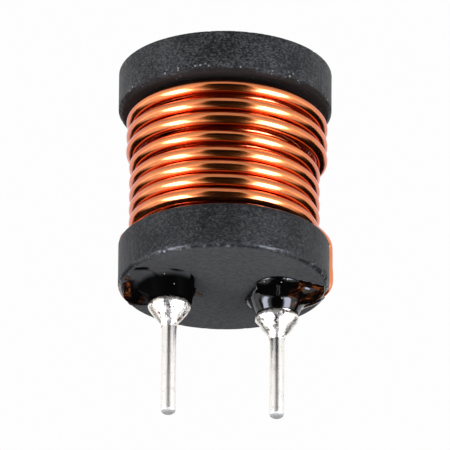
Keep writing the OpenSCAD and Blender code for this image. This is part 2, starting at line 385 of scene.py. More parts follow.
@dataclass(frozen=True)
class FerriteFinish(Finish):
    """Pressed and fired ferrite: near black, finely grained, with worn chamfers, a few specks of dust,
    painted glints on the top flange and painted shade under it.
    """

    sizes: Sizes
    dark: Colour = (0.002, 0.002, 0.003)
    light: Colour = (0.064, 0.065, 0.069)
    # Colours of the underside, lighter than the flanges' sides and with less grain.
    smooth: Colour = (0.05, 0.051, 0.054)
    underside_light: Colour = (0.078, 0.079, 0.084)
    scuff: Colour = (0.09, 0.091, 0.096)
    # Colour of the painted shade under the top flange.
    under_flange_shade: Colour = (0.007, 0.0035, 0.002)
    # Pale colour of the dust specks and of the painted glints.
    dust_and_glints: Colour = (0.3, 0.3, 0.3)
    flanges: tuple[float, float] = (3.0, 12.0)
    skin: tuple[float, float] = (0.02, 0.12)
    band: float = 0.26
    edge_band: float = 0.16
    # Height above the top flange's underside of the line of chips with painted glints.
    chip_glint_line: float = 0.42
    dull_x: float = -1.8

    def rims(self, graph: Graph, place: Any) -> Any:
        """Mask of the bands along the four rims, chamfers among them."""
        s = self.sizes
        middle = s.rim_chamfer / 2
        bands = [
            (s.bottom_d / 2 - middle, middle, self.band),
            (s.bottom_d / 2, s.bottom_t, self.edge_band),
            (s.top_d / 2 - middle, s.core_h - s.top_t + middle, self.band),
            (s.top_d / 2, s.core_h, self.edge_band),
        ]
        mask: Any = 0.0
        for radius, height, reach in bands:
            values = {"Vector": place, "Radius": radius, "Height": height, "Reach": reach}
            mask = graph.most(mask, graph.group(self.effects.rim, values))
        return mask

    def material(self) -> Material:
        """The ferrite's material."""
        e = self.effects
        material, graph, shader, place = self.begin("ferrite")
        x, y, z = graph.parts(place)
        under = self.sizes.core_h - self.sizes.top_t
        coarse = graph.times(graph.ramp(z, *self.flanges, 0.74, 1.4), graph.ramp(z, *self.skin, 0.8, 1.0))
        cloud = graph.group(e.mottle, {"Vector": place, "Patch": 0.5, "Grain": 4.0, "Share": 0.5})
        grain = graph.noise(graph.point(x, y, graph.times(z, 2.0)), 5.6, 2.5, 0.65)
        tone = graph.plus(graph.times(cloud, 0.4), graph.times(grain, 0.6))
        tone = graph.plus(0.5, graph.times(graph.minus(tone, 0.5), coarse))
        colour = graph.mix(graph.ramp(tone, 0.42, 0.66), self.dark, self.light)
        # The underside gets its own colour, lighter than the sides and with less grain.
        shade = graph.ramp(graph.noise(place, 2.6, 4.0, 0.7), 0.35, 0.65)
        underside_light = graph.mix(shade, self.smooth, self.underside_light)
        colour = graph.mix(graph.ramp(z, *self.skin, 0.8, 0.0), colour, underside_light)
        rims = self.rims(graph, place)
        wear = graph.ramp(graph.noise(place, 2.4, 4.0, 0.7), 0.52, 0.68)
        colour = graph.mix(graph.times(rims, 0.85), colour, self.dark)
        colour = graph.mix(graph.times(rims, wear, clamp=True), colour, self.scuff)
        # Painted shade: darker, browner colour on the top flange's underside and lower chamfer, where the
        # coil shades them, with a ragged upper edge.
        edge = graph.plus(z, graph.times(graph.noise(place, 1.8, 4.0, 0.7), -0.3))
        under_top_edge = graph.ramp(edge, under + 0.1, under + 0.2, 1.0, 0.0)
        under_flange_shade = graph.times(graph.ramp(z, 3.4, 5.0), under_top_edge)
        colour = graph.mix(under_flange_shade, colour, self.under_flange_shade)
        # Pale specks: dust all over, plus finer specks that thicken on the top flange and a line of chips
        # along its lower edge, both partly painted glints.
        specks = graph.group(e.specks, {"Vector": place, "Scale": 1.7, "Size": 0.09, "Share": 0.12})
        share = graph.ramp(z, *self.flanges, 0.03, 0.14)
        fine = graph.group(e.specks, {"Vector": place, "Scale": 4.6, "Size": 0.17, "Share": share})
        off_line = graph.math("ABSOLUTE", graph.minus(z, under + self.chip_glint_line))
        chips_and_glints = graph.group(e.specks, {"Vector": place, "Scale": 3.1, "Size": 0.24, "Share": 0.45})
        fine = graph.most(fine, graph.times(chips_and_glints, graph.ramp(off_line, 0.05, 0.32, 1.9, 0.0)))
        colour = graph.mix(graph.times(graph.most(specks, fine), 0.4), colour, self.dust_and_glints)
        roughness = graph.most(graph.ramp(grain, 0.3, 0.7, 0.42, 0.6), graph.times(rims, 0.9))
        # Rougher where the shade under the top flange is painted.
        roughness = graph.most(roughness, graph.times(under_flange_shade, 0.8))
        pits = graph.ramp(graph.noise(place, 4.2, 3.0, 0.6), 0.28, 0.46)
        height = graph.plus(graph.times(grain, 0.7), graph.times(pits, 0.3))
        gloss = graph.times(rims, graph.ramp(graph.noise(place, 3.4, 3.0), 0.3, 0.5), clamp=True)
        dull = graph.ramp(graph.math("ABSOLUTE", graph.minus(x, self.dull_x)), 1.5, 2.6, 0.1, 1.0)
        gloss = graph.times(gloss, graph.times(dull, graph.ramp(z, *self.flanges, 1.0, 0.2)))
        self.join(graph, shader, Base_Color=colour, Roughness=roughness, Specular_IOR_Level=0.2)
        self.join(graph, shader, Coat_Weight=gloss, Coat_IOR=1.5, Coat_Roughness=0.16)
        self.bump(graph, shader, graph.times(height, coarse), 0.06)
        return material


@dataclass(frozen=True)
class CopperFinish(Finish):
    """Enamelled copper wire: drawn lines along it, redder patches, tinned at its ends."""

    bright: Colour = (0.87, 0.225, 0.036)
    deep: Colour = (0.72, 0.165, 0.022)
    tinned: Colour = (0.78, 0.77, 0.75)
    soot: Colour = (0.012, 0.009, 0.008)
    glint: tuple[float, ...] = (0.75, 0.3, 0.12, 1.0)

    def material(self) -> Material:
        """The wire's material."""
        e = self.effects
        material, graph, shader, place = self.begin("enamelled_copper")
        ring = graph.parts(graph.mark("ring", "Vector"))
        strand = graph.point(graph.mark("along"), ring[0], ring[1])
        lines = graph.group(e.streaks, {"Vector": strand, "Along": 160.0, "Across": 7.0})
        patch = graph.group(e.mottle, {"Vector": place, "Patch": 0.7, "Grain": 3.5, "Share": 0.35})
        both = graph.plus(graph.times(lines, 0.4), graph.times(patch, 0.6))
        colour = graph.mix(graph.ramp(both, 0.38, 0.62), self.bright, self.deep)
        clean = graph.ramp(graph.mark("smear"), 0, 1, 0.5, 0)
        spread = graph.minus(graph.noise(place, 3.4, 4.0, 0.65), clean)
        blot = graph.ramp(spread, 0.5, 0.58)
        colour = graph.mix(blot, graph.mix(graph.mark("tin"), colour, self.tinned), self.soot)
        roughness = graph.ramp(lines, 0.25, 0.75, 0.13, 0.22)
        metal = graph.ramp(blot, 0.0, 1.0, 1.0, 0.0)
        self.join(graph, shader, Base_Color=colour, Roughness=roughness, Metallic=metal)
        self.join(graph, shader, Coat_Weight=0.9, Coat_IOR=1.75, Coat_Roughness=0.12)
        self.join(graph, shader, Specular_Tint=self.glint)
        self.bump(graph, shader, lines, 0.003)
        return material


@dataclass(frozen=True)
class TinFinish(Finish):
    """Tinned pin: bright metal with faint drawn lines, duller patches and a grey cut end."""

    clean: Colour = (0.87, 0.83, 0.775)
    dull: Colour = (0.63, 0.6, 0.56)
    cut: Colour = (0.34, 0.335, 0.33)

    def material(self) -> Material:
        """The pins' material."""
        e = self.effects
        material, graph, shader, place = self.begin("tinned_wire")
        parts = graph.parts(place)
        turned = graph.point(parts[2], parts[0], parts[1])
        lines = graph.group(e.streaks, {"Vector": turned, "Along": 0.45, "Across": 7.0})
        patch = graph.group(e.mottle, {"Vector": place, "Patch": 1.3, "Grain": 7.0, "Share": 0.6})
        cut = graph.mark("cut")
        colour = graph.mix(graph.ramp(patch, 0.5, 0.72), self.clean, self.dull)
        colour = graph.mix(cut, colour, self.cut)
        worn = graph.plus(graph.ramp(parts[2], -9.0, -3.0, 0.12, 0.0), graph.times(cut, 0.3))
        roughness = graph.plus(graph.ramp(lines, 0.3, 0.7, 0.22, 0.3), worn)
        metal = graph.ramp(cut, 0.0, 1.0, 1.0, 0.25)
        self.join(graph, shader, Base_Color=colour, Roughness=roughness, Metallic=metal)
        both = graph.plus(graph.times(lines, 0.5), graph.times(patch, 0.5))
        self.bump(graph, shader, both, 0.006)
        return material


@dataclass(frozen=True)
class SolderFinish(Finish):
    """Solder joint: bright, lumpy, with grey frosted spots and a warm tinge of flux."""

    clean: Colour = (0.91, 0.87, 0.81)
    frost: Colour = (0.05, 0.049, 0.047)
    flux: Colour = (0.86, 0.68, 0.56)

    def material(self) -> Material:
        """The solder's material."""
        e = self.effects
        material, graph, shader, place = self.begin("solder")
        lump = graph.group(e.mottle, {"Vector": place, "Patch": 1.3, "Grain": 4.5, "Share": 0.35})
        spots = graph.ramp(graph.noise(place, 3.1, 4.0, 0.7), 0.53, 0.62)
        warm = graph.ramp(graph.noise(place, 1.1, 2.0), 0.5, 0.68, 0.0, 0.6)
        colour = graph.mix(spots, graph.mix(warm, self.clean, self.flux), self.frost)
        roughness = graph.ramp(lump, 0.3, 0.7, 0.2, 0.32)
        self.join(graph, shader, Base_Color=colour, Roughness=roughness, Metallic=0.82)
        self.bump(graph, shader, lump, 0.1)
        return material


@dataclass(frozen=True)
class ResinFinish(Finish):
    """Black resin: brown to amber where it is thin over the wire, grey where it is a film on the ferrite and
    where a grey reflection is painted, with pale specks of dust and painted glints.
    """

    name: str
    dull: float = 0.0
    mirror: float = 0.42
    black: Colour = (0.0016, 0.0015, 0.0015)
    brown: Colour = (0.05, 0.013, 0.005)
    amber: Colour = (0.5, 0.14, 0.03)
    # Grey of a thin resin film on the ferrite, also used for a painted grey reflection.
    film_and_reflection: Colour = (0.055, 0.056, 0.06)
    dust_and_glints: Colour = (0.4, 0.39, 0.38)

    def material(self) -> Material:
        """The resin's material."""
        e = self.effects
        material, graph, shader, place = self.begin(self.name)
        thin, film_and_reflection = graph.mark("thin"), graph.mark("film_and_reflection")
        streak = graph.group(e.streaks, {"Vector": place, "Along": 1.1, "Across": 3.0})
        brown = graph.times(thin, graph.ramp(streak, 0.4, 0.55), clamp=True)
        amber = graph.times(thin, graph.ramp(streak, 0.53, 0.66), clamp=True)
        # Grey where the film mark lies: partly a thin resin film over the ferrite, partly a painted grey
        # reflection.
        colour = graph.mix(film_and_reflection, self.black, self.film_and_reflection)
        colour = graph.mix(amber, graph.mix(brown, colour, self.brown), self.amber)
        # Pale specks: dust, and painted glints.
        dust_and_glints = graph.group(e.specks, {"Vector": place, "Scale": 2.8, "Size": 0.13, "Share": 0.16})
        colour = graph.mix(graph.times(dust_and_glints, 0.8), colour, self.dust_and_glints)
        skin = graph.group(e.mottle, {"Vector": place, "Patch": 0.9, "Grain": 3.0, "Share": 0.25})
        blur = graph.ramp(skin, 0.35, 0.7, self.dull + 0.04, self.dull + 0.1)
        roughness = graph.plus(blur, graph.times(film_and_reflection, 0.35 - self.dull))
        self.join(graph, shader, Base_Color=colour, Roughness=roughness)
        self.join(graph, shader, IOR=1.55, Specular_IOR_Level=self.mirror)
        self.bump(graph, shader, skin, 0.02)
        return material


class Shop:
    """Turns lists of points into placed pieces."""

    def mesh(self, name: str, rows: Sequence[Sequence[Vector]], closed: bool) -> Mesh:
        """Skin of rows that each go once round an axis.

        Args:
            name: The mesh's name.
            rows: Rows of points in millimetres; a row of one point is a pole.
            closed: Whether the last row joins the first.

        Returns:
            A closed mesh in metres with its faces outwards, smooth shaded.
        """
        work = bmesh.new()
        rings = [[work.verts.new(p * MM) for p in row] for row in rows]
        pairs = list(zip(rings, rings[1:])) + ([(rings[-1], rings[0])] if closed else [])
        for low, high in pairs:
            count = max(len(low), len(high))
            for i in range(count):
                j = (i + 1) % count
                corners = [low[i % len(low)], low[j % len(low)], high[j % len(high)], high[i % len(high)]]
                work.faces.new(list(dict.fromkeys(corners)))
        for face in work.faces:
            face.smooth = True
        return self.closed(name, work)

    def closed(self, name: str, work: bmesh.types.BMesh) -> Mesh:
        """Finished mesh of a closed skin, its faces turned outwards."""
        bmesh.ops.recalc_face_normals(work, faces=work.faces)
        mesh = bpy.data.meshes.new(name)
        work.to_mesh(mesh)
        work.free()
        return mesh

    def prism(self, name: str, outline: Sequence[Vector], along: Vector) -> Mesh:
        """Straight prism, as a tool to cut with.

        Args:
            name: The mesh's name.
            outline: Corners of one end, in millimetres.
            along: Way from that end to the other.

        Returns:
            The prism in metres.
        """
        work = bmesh.new()
        near = [work.verts.new(p * MM) for p in outline]
        far = [work.verts.new((p + along) * MM) for p in outline]
        work.faces.new(near)
        work.faces.new(far[::-1])
        for i in range(len(near)):
            j = (i + 1) % len(near)
            work.faces.new([near[j], near[i], far[i], far[j]])
        return self.closed(name, work)

    def cut(self, mesh: Mesh, tools: Sequence[Mesh]) -> Mesh:
        """A mesh less the tools, as a new plain mesh."""
        target = self.link(mesh.name, mesh)
        cutters = [self.link(tool.name, tool) for tool in tools]
        for cutter in cutters:
            target.modifiers.new(cutter.name, "BOOLEAN").object = cutter
        result = self.plain(target)
        for obj in [target, *cutters]:
            bpy.data.objects.remove(obj)
        return result

    def plain(self, obj: Object) -> Mesh:
        """The evaluated shape of an object, as a plain mesh with its attributes."""
        graph = bpy.context.evaluated_depsgraph_get()
        shape = obj.evaluated_get(graph)
        return bpy.data.meshes.new_from_object(shape, preserve_all_data_layers=True, depsgraph=graph)

    def link(self, name: str, data: Mesh) -> Object:
        """A new object in the scene's collection."""
        obj = bpy.data.objects.new(name, data)
        bpy.context.scene.collection.objects.link(obj)
        return obj

    def piece(self, name: str, mesh: Mesh, slot: Slot, node: str, material: Any = None) -> None:
        """Places a piece for a CAD node.

        Args:
            name: The piece's name.
            mesh: Its finished mesh.
            slot: The record's slot for its finish; not used.
            node: The CAD node that it stands for.
            material: Its material, unless the mesh already carries it.
        """
        obj = self.link(name, mesh)
        if material:
            mesh.materials.clear()
            mesh.materials.append(material)
        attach(obj, BODY)
        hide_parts(node)
        LOG.info("%s: %d faces", name, len(mesh.polygons))


@dataclass
class Winding:
    """The one wire, from the left pin through both layers to the right pin."""

    sizes: Sizes
    shop: Shop
    start_a: float = 146
    finish_a: float = -3.5
    loose_turns: int = 3
    loose_off: float = 0.36
    loose_lean: float = 0.14
    lean_a: float = -15
    lead_sink: float = 0.1
    post_gap: float = 0.08
    layer_gap: float = 0.06
    turn_gap: float = 0.03
    flange_gap: float = 0.05
    run_in: float = 56
    cross_a: float = 60
    cross_sweep: float = 60
    front_a: float = 255
    slack_shares: tuple[int, ...] = (6, 2, 4, 5, 1, 1, 2)
    first_drop: float = 0.22
    last_rise: float = 0.55
    leave_rise: float = 0.4
    leave_a: float = 17
    step_sweep: float = 45
    notch_drop: float = 0.8
    notch_low: float = 1.05
    foot_in: float = 0.58
    foot_z: float = 0.3
    wrap_sweep: float = 240
    wrap_drop: float = 0.5
    left_wrap_z: float = -0.7
    right_wrap_z: float = -0.62
    edge_in: float = 0.06
    edge_rise: float = 0.55
    flange_turn: float = 7
    rim_turn: float = 14
    start_rise: float = 0.2
    finish_rise: float = 0.32
    inner_steps: int = 54
    outer_steps: int = 84
    lead_steps: int = 12
    wrap_steps: int = 30
    cross_steps: int = 16
    sides: int = 22
    waver: float = 0.018
    waver_scale: float = 0.45
    waver_seed: int = 3
    tinned_l: float = 6.2
    smear: tuple[float, float] = (5.0, 7.4)

    def __post_init__(self) -> None:
        """Works out the heights and sweeps of both layers."""
        s = self.sizes
        self.inner_r = s.post_d / 2 + self.post_gap + s.wire_r
        self.outer_r = self.inner_r + s.wire_d + self.layer_gap
        self.lead_r = s.bottom_d / 2 - self.lead_sink
        self.low_z = s.bottom_t + self.flange_gap + s.wire_r
        self.high_z = s.core_h - s.top_t - self.flange_gap - s.wire_r
        self.inner_start_a = self.start_a + self.run_in
        self.inner_rise = self.high_z - self.low_z
        part = (self.cross_a - self.inner_start_a + 720) % 360
        fit = self.inner_rise / (s.wire_d + 2 * self.turn_gap)
        self.inner_sweep = 360 * math.floor(fit - part / 360) + part
        self.outer_start_a = self.cross_a + self.cross_sweep
        self._heights()
        to_front = self.front_a - self.outer_start_a
        self.step_a = to_front + 360 * (self.loose_turns - 1) + 90
        step_z = lookup(self.step_a, self.outer_heights)
        self.inner_step_a = self.inner_sweep * (step_z + s.wire_d - self.low_z) / self.inner_rise

    def _heights(self) -> None:
        """Shares the outer layer's free height out between its turns, from the top."""
        s = self.sizes
        to_front = self.front_a - self.outer_start_a
        to_start = (self.start_a + self.run_in / 2 - self.front_a + 360) % 360
        top, low = self.high_z - self.first_drop, self.low_z + self.last_rise
        gaps = math.floor((top - low) / (s.wire_d + self.turn_gap))
        shares = [self.slack_shares[k % len(self.slack_shares)] for k in range(gaps)]
        slack = (top - low - gaps * s.wire_d) / sum(shares)
        front = [top - k * s.wire_d - slack * sum(shares[:k]) for k in range(gaps + 1)]
        rows = [(0.0, self.high_z)]
        for k in range(gaps):
            tight = self.low_z + (gaps - k) * (s.wire_d + self.turn_gap)
            back = max(front[k] + (front[k + 1] - front[k]) * to_start / 360, tight)
            rows += [(to_front + 360 * k, front[k]), (to_front + 360 * k + to_start, back)]
        self.outer_sweep = to_front + 360 * gaps + self.finish_a + 360 - self.leave_a - self.front_a
        rows += [(to_front + 360 * gaps, low), (self.outer_sweep, self.low_z + self.leave_rise)]
        self.outer_heights = rows

    def loose(self, angle: float) -> float:
        """How far a loose turn stands off at an angle."""
        return self.loose_off + self.loose_lean * math.cos(math.radians(angle - self.lean_a))

    def outer_point(self, a: float) -> Vector:
        """Point of the outer layer after a sweep."""
        angle = self.outer_start_a + a
        off = self.loose(angle) * (1 - ease((a - self.step_a) / self.step_sweep))
        return polar(angle, self.outer_r + off, lookup(a, self.outer_heights))

    def inner_point(self, a: float) -> Vector:
        """Point of the inner layer after a sweep."""
        angle = self.inner_start_a + a
        off = self.loose(angle) * ease((a - self.inner_step_a) / self.step_sweep)
        return polar(angle, self.inner_r + off, self.low_z + self.inner_rise * a / self.inner_sweep)

    def cross_point(self, t: float) -> Vector:
        """Point of the change of layers, from 0 to 1."""
        angle = self.cross_a + self.cross_sweep * t
        radius = self.inner_r + self.loose(angle) + (self.outer_r - self.inner_r) * ease(t)
        return polar(angle, radius, self.high_z)

    def lead_angle(self, side: Side) -> float:
        """Angle of a side's notch."""
        return self.start_a if side is Side.LEFT else self.finish_a

    def foot(self, side: Side) -> Vector:
        """Where a lead turns in under the drum."""
        return polar(self.lead_angle(side), self.lead_r - self.foot_in, self.foot_z)

    def wrap_point(self, side: Side, t: float) -> Vector:
        """Point of a lead's wrap round its pin, from 0 to 1."""
        pin = Vector((self.sizes.pin_x(side), 0, 0))
        reach = self.foot(side) - pin - Vector((0, 0, self.foot_z))
        touch = math.degrees(math.atan2(reach.y, reach.x) + math.acos(self.sizes.wrap_r / reach.length))
        z = self.left_wrap_z if side is Side.LEFT else self.right_wrap_z
        return pin + polar(touch + self.wrap_sweep * t, self.sizes.wrap_r, z - self.wrap_drop * t)

    def lead(self, side: Side) -> list[Vector]:
        """Points of a lead, from its notch to the end of its wrap."""
        a, touch = self.lead_angle(side), self.wrap_point(side, 0)
        knots = [
            polar(a, self.lead_r, self.sizes.bottom_t - self.notch_drop),
            polar(a, self.lead_r, self.notch_low),
            self.foot(side),
            (self.foot(side) + touch) / 2,
            touch,
        ]
        wrap = [self.wrap_point(side, i / self.wrap_steps) for i in range(self.wrap_steps + 1)]
        return spline(knots, self.lead_steps) + wrap

    def over_edge(self, side: Side) -> list[Vector]:
        """Knots where a lead bends over the flange's edge, from the flange outwards."""
        s, a = self.sizes, self.lead_angle(side)
        turns, rise = [self.flange_turn], self.finish_rise
        if side is Side.LEFT:
            turns, rise = [self.rim_turn, self.flange_turn], self.start_rise
        knots = [polar(a - side.value * turn, self.lead_r - s.wire_r, self.low_z + rise) for turn in turns]
        return [*knots, polar(a - side.value, self.lead_r - self.edge_in, s.bottom_t + self.edge_rise)]

    def path(self) -> list[Vector]:
        """Points of the whole wire, with the slight waver of a hand-wound coil."""
        start, finish = self.lead(Side.LEFT), self.lead(Side.RIGHT)
        middle = polar(self.start_a + self.run_in / 2, (self.inner_r + self.outer_r) / 2, self.low_z)
        into = [start[0], *self.over_edge(Side.LEFT)[::-1], middle, self.inner_point(0)]
        out = [self.outer_point(self.outer_sweep), *self.over_edge(Side.RIGHT), finish[0]]
        inner_n = int(self.inner_sweep / 360 * self.inner_steps)
        outer_n = int(self.outer_sweep / 360 * self.outer_steps)
        inner = [self.inner_point(self.inner_sweep * i / inner_n) for i in range(inner_n)]
        cross = [self.cross_point(i / self.cross_steps) for i in range(self.cross_steps)]
        outer = [self.outer_point(self.outer_sweep * i / outer_n) for i in range(outer_n)]
        noise.seed_set(self.waver_seed)
        coil = [p + self.waver * noise.noise_vector(p * self.waver_scale) for p in inner + cross + outer]
        return start[::-1] + spline(into, self.lead_steps)[1:] + coil + spline(out, self.lead_steps) + finish

    def tree(self) -> NodeTree:
        """Node tree that sweeps a wire along a line and marks its length, its round and its two ends."""
        tree = bpy.data.node_groups.new("wire_on_path", "GeometryNodeTree")
        face = tree.interface
        face.new_socket("Geometry", in_out="INPUT", socket_type="NodeSocketGeometry")
        for name in ("Radius", "Tinned Length", "Smear From", "Smear To"):
            face.new_socket(name, in_out="INPUT", socket_type="NodeSocketFloat")
        face.new_socket("Sides", in_out="INPUT", socket_type="NodeSocketInt")
        face.new_socket("Material", in_out="INPUT", socket_type="NodeSocketMaterial")
        face.new_socket("Geometry", in_out="OUTPUT", socket_type="NodeSocketGeometry")
        g = Graph(tree)
        given = g.add("NodeGroupInput").outputs
        line = g.add("GeometryNodeMeshToCurve", {"Mesh": given["Geometry"]}).outputs[0]
        length = g.add("GeometryNodeSplineParameter").outputs["Length"]
        whole = g.add("GeometryNodeCurveLength", {"Curve": line}).outputs[0]
        end = g.math("MINIMUM", length, g.minus(whole, length))
        tin = g.math("LESS_THAN", end, given["Tinned Length"])
        past = g.math("GREATER_THAN", end, given["Smear From"])
        short = g.math("LESS_THAN", end, given["Smear To"])
        for name, value in (("along", length), ("tin", tin), ("smear", g.times(past, short))):
            line = g.store(line, name, value)
        values = {"Resolution": given["Sides"], "Radius": given["Radius"]}
        circle = g.add("GeometryNodeCurvePrimitiveCircle", values).outputs["Curve"]
        turn = g.times(g.add("GeometryNodeSplineParameter").outputs["Factor"], math.tau)
        ring = g.point(g.math("COSINE", turn), g.math("SINE", turn))
        profile = g.store(circle, "ring", ring, "FLOAT_VECTOR")
        wire = g.add("GeometryNodeCurveToMesh", {"Curve": line, "Profile Curve": profile, "Fill Caps": True})
        for kind in ("GeometryNodeSetShadeSmooth", "GeometryNodeRealizeInstances"):
            wire = g.add(kind, {"Geometry": wire.outputs[0]})
        values = {"Geometry": wire.outputs[0], "Material": given["Material"]}
        g.add("NodeGroupOutput", {0: g.add("GeometryNodeSetMaterial", values).outputs[0]})
        return tree

    def build(self, finish: CopperFinish) -> None:
        """Sweeps the wire and dresses it."""
        points = [p * MM for p in self.path()]
        route = bpy.data.meshes.new("wire_route")
        route.from_pydata(points, [(i, i + 1) for i in range(len(points) - 1)], [])
        carrier = self.shop.link("wire_route", route)
        sweep = carrier.modifiers.new("wire", "NODES")
        sweep.node_group = self.tree()
        wanted = {
            "Radius": self.sizes.wire_r * MM,
            "Tinned Length": self.tinned_l * MM,
            "Smear From": self.smear[0] * MM,
            "Smear To": self.smear[1] * MM,
            "Sides": self.sides,
            "Material": finish.material(),
        }
        for item in sweep.node_group.interface.items_tree:
            if item.in_out == "INPUT" and item.name in wanted:
                sweep[item.identifier] = wanted[item.name]
        mesh = self.shop.plain(carrier)
        bpy.data.objects.remove(carrier)
        self.shop.piece("copper_winding", mesh, Slot.COPPER, "winding")


@dataclass
class DrumCore:
    """Ferrite drum with chipped rims, pin holes, and a notch and a slot for each lead."""

    sizes: Sizes
    shop: Shop
    winding: Winding
    segments: int = 480
    chip_depth: float = 0.09
    chip_scales: tuple[float, float] = (2.1, 5.7)
    chip_weight: float = 0.6
    chip_rarity: float = 0.22
    chip_reach: float = 0.22
    unevenness: float = 0.012
    uneven_scale: float = 0.8
    corner_round: float = 0.06
    round_pull: float = 0.32
    post_margin: float = 0.5
    hole_sides: int = 48

    def corner(self, a: Vector, b: Vector, c: Vector, cut: float, steps: int = 5) -> list[Vector]:
        """Rounded corner of a profile.

        Args:
            a: Point before the corner.
            b: The sharp corner.
            c: Point after it.
            cut: How far from the corner the round starts.
            steps: Points of the round.

        Returns:
            The round's points.
        """
        first, last = b + (a - b).normalized() * cut, b + (c - b).normalized() * cut
        middle = b + (first + last - 2 * b) * self.round_pull
        curve = []
        for i in range(steps):
            t = i / (steps - 1)
            curve.append(first * (1 - t) ** 2 + middle * 2 * t * (1 - t) + last * t**2)
        return curve

    def profile(self) -> list[Vector]:
        """Half outline of the drum, from the middle of its underside to the middle of its top."""
        s = self.sizes
        low, high, post = s.bottom_d / 2, s.top_d / 2, s.post_d / 2
        top_z = s.core_h - s.top_t
        c, e = s.rim_chamfer, self.corner_round
        corners = [
            (0.0, 0.0, 0.0),
            (low - c, 0.0, e),
            (low, c, e),
            (low, s.bottom_t, s.edge_break),
            (post, s.bottom_t, 0.0),
            (post, top_z, 0.0),
            (high - c, top_z, e),
            (high, top_z + c, e),
            (high, s.core_h, s.edge_break / 2),
            (0.0, s.core_h, 0.0),
        ]
        sharp = [(Vector((r, z)), cut) for r, z, cut in corners]
        outline: list[Vector] = []
        for i, (point, cut) in enumerate(sharp):
            outline += self.corner(sharp[i - 1][0], point, sharp[i + 1][0], cut) if cut else [point]
        return self.densify(outline)

    def densify(self, outline: Sequence[Vector], step: float = 0.3) -> list[Vector]:
        """The outline with points added so that none is further than a step from the next."""
        points = [outline[0]]
        for a, b in zip(outline, outline[1:]):
            count = max(1, math.ceil((b - a).length / step))
            points += [a + (b - a) * i / count for i in range(1, count + 1)]
        return points

    def worn(self, point: Vector) -> Vector:
        """A surface point moved inwards where the rims are chipped and the faces uneven."""
        s, c = self.sizes, self.sizes.rim_chamfer
        radius = math.hypot(point.x, point.y)
        rims = [
            (s.bottom_d / 2, c, 1.0),
            (s.bottom_d / 2 - c, 0.0, 0.6),
            (s.bottom_d / 2, s.bottom_t, 0.6),
            (s.top_d / 2, s.core_h - s.top_t + c, 0.8),
            (s.top_d / 2, s.core_h, 0.5),
        ]
        bite = sum(noise.noise(point * k) * self.chip_weight for k in self.chip_scales) - self.chip_rarity
        away = [(math.hypot(radius - r, point.z - z), share) for r, z, share in rims]
        near = max((1 - ease(gap / self.chip_reach)) * share for gap, share in away)
        drop = self.chip_depth * near * min(1.0, 3 * max(0.0, bite))
        drop += self.unevenness * max(0.0, noise.noise(point * self.uneven_scale))
        middle_z = s.bottom_t / 2 if point.z < s.core_h / 2 else s.core_h - s.top_t / 2
        inward = Vector((-point.x, -point.y, middle_z - point.z))
        return point + inward.normalized() * drop if radius > s.post_d / 2 + self.post_margin else point

    def notch(self, side: Side) -> Mesh:
        """Cutter for a lead's notch in the rim, flared under the drum."""
        s, w = self.sizes, self.winding
        a = w.lead_angle(side)
        wall, low, over = w.lead_r - s.wire_r - s.slot_gap, w.notch_low, s.bottom_t + s.wire_d
        shape = [
            (wall, over),
            (wall, low + s.wire_r),
            (wall - s.wire_r, low - s.wire_r),
            (wall - s.wire_r, -s.wire_d),
            (s.bottom_d, -s.wire_d),
            (s.bottom_d, over),
        ]
        width = s.wire_d + 2 * s.slot_gap
        aside = polar(a + 90, width, 0)
        return self.shop.prism("notch", [polar(a, r, z) - aside / 2 for r, z in shape], aside)

    def lead_slot(self, side: Side) -> Mesh:
        """Cutter for the sloping slot from the rim to where the lead meets its pin."""
        s, w = self.sizes, self.winding
        start, end = w.foot(side), w.wrap_point(side, 0)
        run = Vector((end.x - start.x, end.y - start.y, 0))
        slope = (end.z - start.z) / run.length
        roof = start.z + s.wire_r * math.sqrt(1 + slope**2) + s.slot_gap
        ahead = run.normalized()
        aside = Vector((-ahead.y, ahead.x, 0)) * (s.wire_d + 2 * s.slot_gap)
        shape = [
            (-s.wire_d, -s.wire_d),
            (-s.wire_d, roof + s.wire_r),
            (0, roof),
            (-(roof + s.wire_d) / slope, -s.wire_d),
        ]
        base = Vector((start.x, start.y, 0))
        outline = [base + ahead * x + Vector((0, 0, z)) - aside / 2 for x, z in shape]
        return self.shop.prism("slot", outline, aside)

    def hole(self, side: Side) -> Mesh:
        """Cutter for a pin's blind hole."""
        s = self.sizes
        at = Vector((s.pin_x(side), 0, -s.pin_d))
        sides = self.hole_sides
        ring = [at + polar(360 * i / sides, s.pin_r + s.bond_gap, 0) for i in range(sides)]
        return self.shop.prism("hole", ring, Vector((0, 0, s.pin_d + s.pin_seat + s.bond_gap)))

    def build(self, finish: FerriteFinish) -> None:
        """Turns the drum, wears its rims, cuts it and dresses it."""
        rows = []
        for point in self.profile():
            if point.x < TINY:
                rows.append([Vector((0, 0, point.y))])
                continue
            ring = [polar(360 * i / self.segments, point.x, point.y) for i in range(self.segments)]
            rows.append([self.worn(p) for p in ring])
        blank = self.shop.mesh("drum_blank", rows, closed=False)
        tools = [cutter(side) for side in Side for cutter in (self.hole, self.notch, self.lead_slot)]
        mesh = self.shop.cut(blank, tools)
        self.shop.piece("ferrite_drum", mesh, Slot.FERRITE, "drum_core", finish.material())


@dataclass(frozen=True)
class Patch:
    """What lies within a reach of a straight line on the drum's underside."""

    start: tuple[float, float]
    end: tuple[float, float]
    reach: float

    def along(self, p: Vector) -> float:
        """How far along the line a point lies, from 0 to 1."""
        a, way = Vector(self.start), Vector(self.end) - Vector(self.start)
        return max(0.0, min(1.0, (p.xy - a).dot(way) / way.length_squared)) if way.length else 0.0

    def off(self, p: Vector) -> float:
        """How far a point lies from the line."""
        return (p.xy - Vector(self.start).lerp(Vector(self.end), self.along(p))).length

    def depth(self, p: Vector) -> float:
        """How far inside the patch a point lies, negative outside it, without a crease along the line."""
        return (self.reach**2 - self.off(p) ** 2) / (2 * self.reach)


